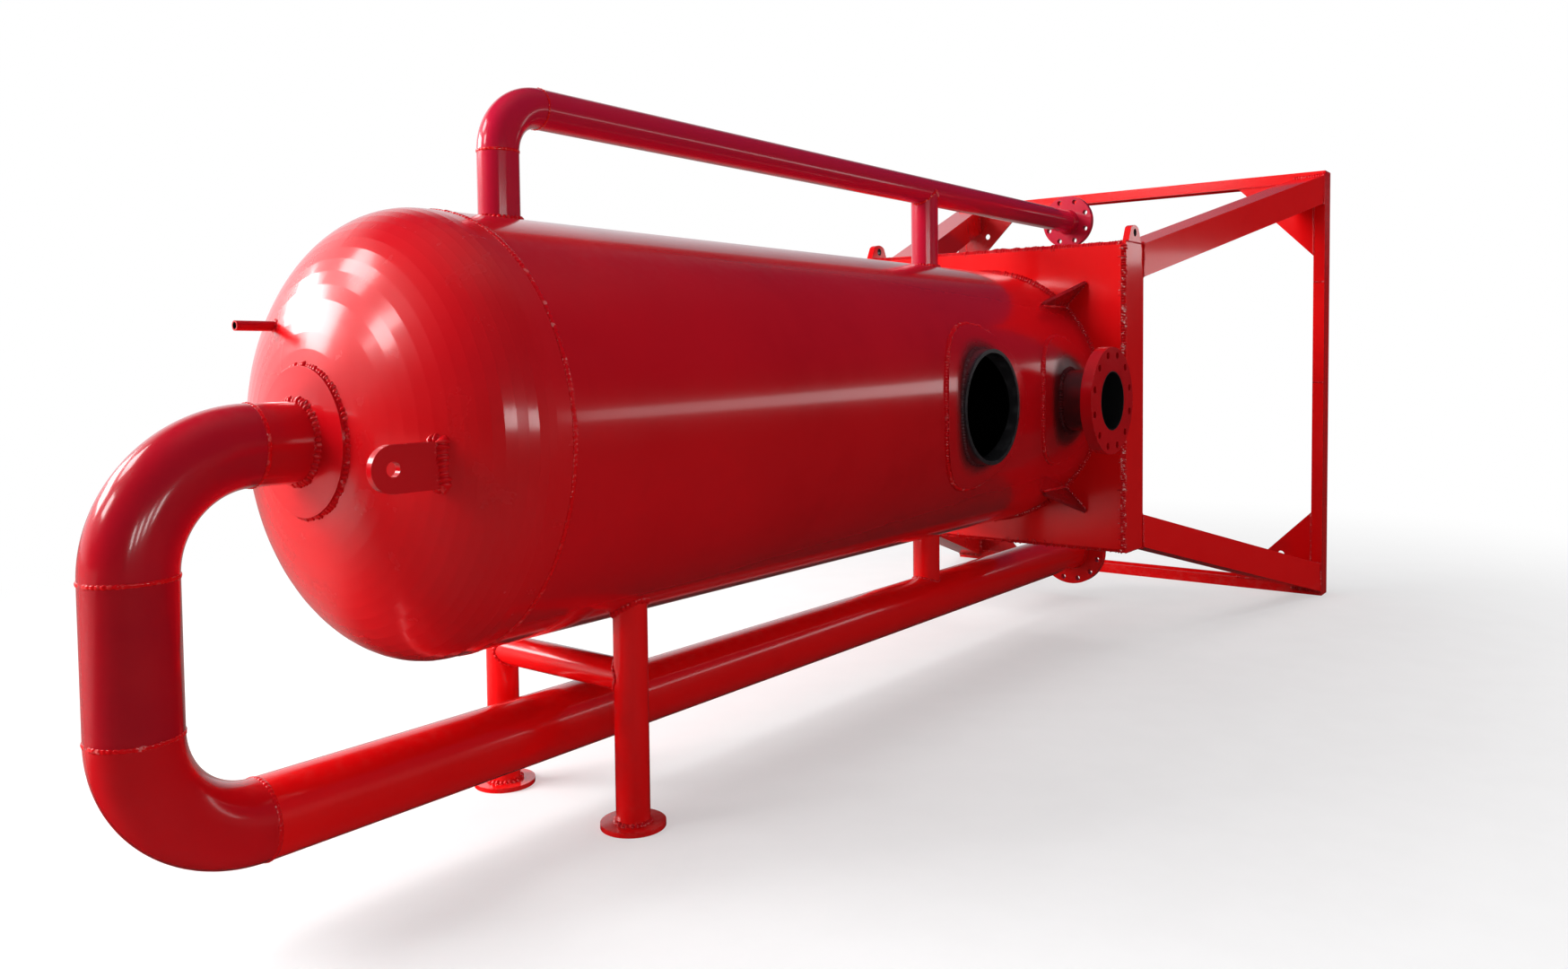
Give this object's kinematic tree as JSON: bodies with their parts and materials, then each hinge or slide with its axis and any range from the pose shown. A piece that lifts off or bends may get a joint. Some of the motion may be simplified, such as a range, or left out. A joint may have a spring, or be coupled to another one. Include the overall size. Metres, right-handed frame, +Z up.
{
  "type": "mud gas separator",
  "caption": "Horizontal-lying mud gas separator: red dished-head vessel with gas and inlet lines, manway, mud outlet, square deck, splayed legs and square base frame.",
  "frame": {"origin": "centre of the footprint on the floor, the separator lying on its transport legs and base frame edge", "axes": "+X along the vessel axis from the dished head to the base frame, +Z up, -Y the side with the manway and mud outlet"},
  "size_m": [5.013, 1.904, 1.97],
  "materials": {
    "red_enamel": "gloss enamel",
    "black_rim": "satin"
  },
  "bodies": {
    "root": {"shell": "red_enamel", "head": "red_enamel", "gas_pad": "red_enamel", "gas_stub": "red_enamel", "gas_elbow_upper": "red_enamel", "gas_drop_pipe": "red_enamel", "gas_elbow_lower": "red_enamel", "gas_line": "red_enamel", "gas_flange": "red_enamel", "gas_stay": "red_enamel", "inlet_riser": "red_enamel", "inlet_elbow": "red_enamel", "inlet_line": "red_enamel", "inlet_flange": "red_enamel", "inlet_stay": "red_enamel", "manway_pad": "red_enamel", "manway_neck": "black_rim", "outlet_pad": "red_enamel", "outlet_neck": "red_enamel", "outlet_flange": "red_enamel", "head_nipple": "red_enamel", "head_lug_near": "red_enamel", "head_lug_far": "red_enamel", "deck_plate": "red_enamel", "deck_channel_top": "red_enamel", "deck_channel_bottom": "red_enamel", "deck_channel_near": "red_enamel", "deck_channel_far": "red_enamel", "deck_ribs": "red_enamel", "deck_lugs": "red_enamel", "leg_near_upper": "red_enamel", "leg_near_lower": "red_enamel", "leg_far_upper": "red_enamel", "leg_far_lower": "red_enamel", "base_channel_top": "red_enamel", "base_channel_bottom": "red_enamel", "base_channel_near": "red_enamel", "base_channel_far": "red_enamel", "base_gussets": "red_enamel", "prop_near": "red_enamel", "prop_far": "red_enamel", "prop_tie": "red_enamel", "foot_near": "red_enamel", "foot_far": "red_enamel"}
  },
  "joints": []
}
